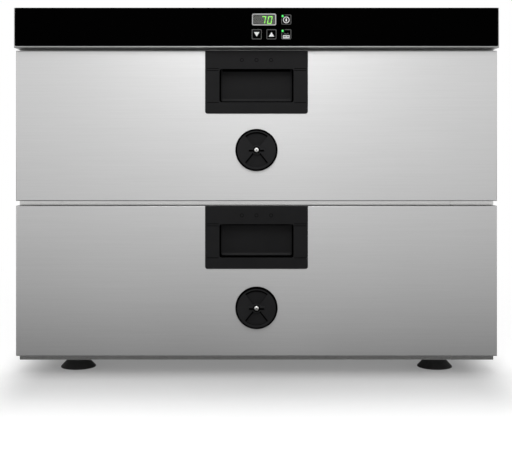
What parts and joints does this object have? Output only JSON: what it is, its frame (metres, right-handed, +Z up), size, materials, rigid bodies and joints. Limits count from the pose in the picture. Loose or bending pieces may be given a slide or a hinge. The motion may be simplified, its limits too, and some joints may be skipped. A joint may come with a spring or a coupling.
{
  "type": "countertop warming drawer",
  "caption": "Countertop warming cabinet with stacked insulated drawers on telescopic runners, recessed black pulls, rotary steam vents and a black control fascia.",
  "frame": {"origin": "on the floor, in the middle of the outer box", "axes": "+X to the right seen from the front, +Y to the back, +Z up; the drawers open towards -Y"},
  "size_m": [0.69, 0.5404, 0.528],
  "materials": {
    "cabinet_steel": "satin",
    "front_steel": "satin",
    "inner_steel": "satin",
    "pan_steel": "satin",
    "runner_zinc": "satin",
    "plated_steel": "satin",
    "screw_steel": "polished",
    "mineral_wool": "matte",
    "cable_jacket": "matte",
    "lead_jacket": "matte",
    "safety_black": "matte",
    "relay_black": "satin",
    "film_black": "satin",
    "bezel_grey": "satin",
    "window_smoke": "gloss",
    "display_grey": "matte",
    "light_green": "gloss",
    "board_green": "satin",
    "terminal_white": "satin",
    "gland_black": "satin",
    "stud_brass": "satin",
    "foot_rubber": "matte",
    "handle_black": "satin",
    "seal_silicone": "matte"
  },
  "bodies": {
    "cabinet": {"left_side_panel": "cabinet_steel", "right_side_panel": "cabinet_steel", "top_panel": "cabinet_steel", "base_panel": "cabinet_steel", "rear_panel": "cabinet_steel", "front_frame": "cabinet_steel", "heated_chamber": "inner_steel", "insulation_slabs": "mineral_wool", "heating_cable": "cable_jacket", "temperature_probe": "plated_steel", "safety_thermostat": "safety_black", "component_tray": "inner_steel", "control_fascia": "cabinet_steel", "membrane_overlay": "film_black", "display_bezel": "bezel_grey", "display_window": "window_smoke", "display_module": "display_grey", "status_leds": "light_green", "control_board": "board_green", "power_relay": "relay_black", "terminal_block": "terminal_white", "wiring_loom": "lead_jacket", "cable_gland": "gland_black", "gland_nut": "gland_black", "earth_stud": "stud_brass", "rubber_feet": "foot_rubber", "foot_screws": "plated_steel", "cabinet_screws": "plated_steel", "upper_outer_rails": "runner_zinc", "lower_outer_rails": "runner_zinc"},
    "upper_drawer": {"upper_front_skin": "front_steel", "upper_front_liner": "inner_steel", "upper_front_insulation": "mineral_wool", "upper_seal": "seal_silicone", "upper_handle_cup": "handle_black", "upper_vent_base": "handle_black", "upper_vent_screw": "screw_steel", "upper_pan_frame": "inner_steel", "upper_pan": "pan_steel", "upper_inner_rails": "runner_zinc", "upper_drawer_screws": "plated_steel"},
    "lower_drawer": {"lower_front_skin": "front_steel", "lower_front_liner": "inner_steel", "lower_front_insulation": "mineral_wool", "lower_seal": "seal_silicone", "lower_handle_cup": "handle_black", "lower_vent_base": "handle_black", "lower_vent_screw": "screw_steel", "lower_pan_frame": "inner_steel", "lower_pan": "pan_steel", "lower_inner_rails": "runner_zinc", "lower_drawer_screws": "plated_steel"},
    "upper_runner": {"upper_middle_rails": "runner_zinc"},
    "lower_runner": {"lower_middle_rails": "runner_zinc"},
    "upper_knob": {"upper_vent_knob": "handle_black"},
    "lower_knob": {"lower_vent_knob": "handle_black"},
    "key_down": {"key_down": "film_black"},
    "key_up": {"key_up": "film_black"},
    "key_power": {"key_power": "film_black"},
    "key_function": {"key_function": "film_black"}
  },
  "joints": [
    {"name": "upper_drawer_slide", "type": "slide", "parent": "cabinet", "child": "upper_drawer", "axis": [0, -1, 0], "range_m": [0, 0.39]},
    {"name": "upper_runner_slide", "type": "slide", "parent": "cabinet", "child": "upper_runner", "axis": [0, -1, 0], "range_m": [0, 0.195]},
    {"name": "upper_vent_turn", "type": "hinge", "parent": "upper_drawer", "child": "upper_knob", "pos_m": [0, -0.25675, 0.3255], "axis": [0, 1, 0], "range_deg": [0, 90]},
    {"name": "lower_drawer_slide", "type": "slide", "parent": "cabinet", "child": "lower_drawer", "axis": [0, -1, 0], "range_m": [0, 0.39]},
    {"name": "lower_runner_slide", "type": "slide", "parent": "cabinet", "child": "lower_runner", "axis": [0, -1, 0], "range_m": [0, 0.195]},
    {"name": "lower_vent_turn", "type": "hinge", "parent": "lower_drawer", "child": "lower_knob", "pos_m": [0, -0.25675, 0.0995], "axis": [0, 1, 0], "range_deg": [0, 90]},
    {"name": "key_down_press", "type": "slide", "parent": "cabinet", "child": "key_down", "axis": [0, 1, 0], "range_m": [0, 0.0006], "stiffness_N_per_m": 2000},
    {"name": "key_up_press", "type": "slide", "parent": "cabinet", "child": "key_up", "axis": [0, 1, 0], "range_m": [0, 0.0006], "stiffness_N_per_m": 2000},
    {"name": "key_power_press", "type": "slide", "parent": "cabinet", "child": "key_power", "axis": [0, 1, 0], "range_m": [0, 0.0006], "stiffness_N_per_m": 2000},
    {"name": "key_function_press", "type": "slide", "parent": "cabinet", "child": "key_function", "axis": [0, 1, 0], "range_m": [0, 0.0006], "stiffness_N_per_m": 2000}
  ],
  "couplings": [
    {"joint": "upper_runner_slide", "follows": "upper_drawer_slide", "ratio": 0.5},
    {"joint": "lower_runner_slide", "follows": "lower_drawer_slide", "ratio": 0.5}
  ]
}
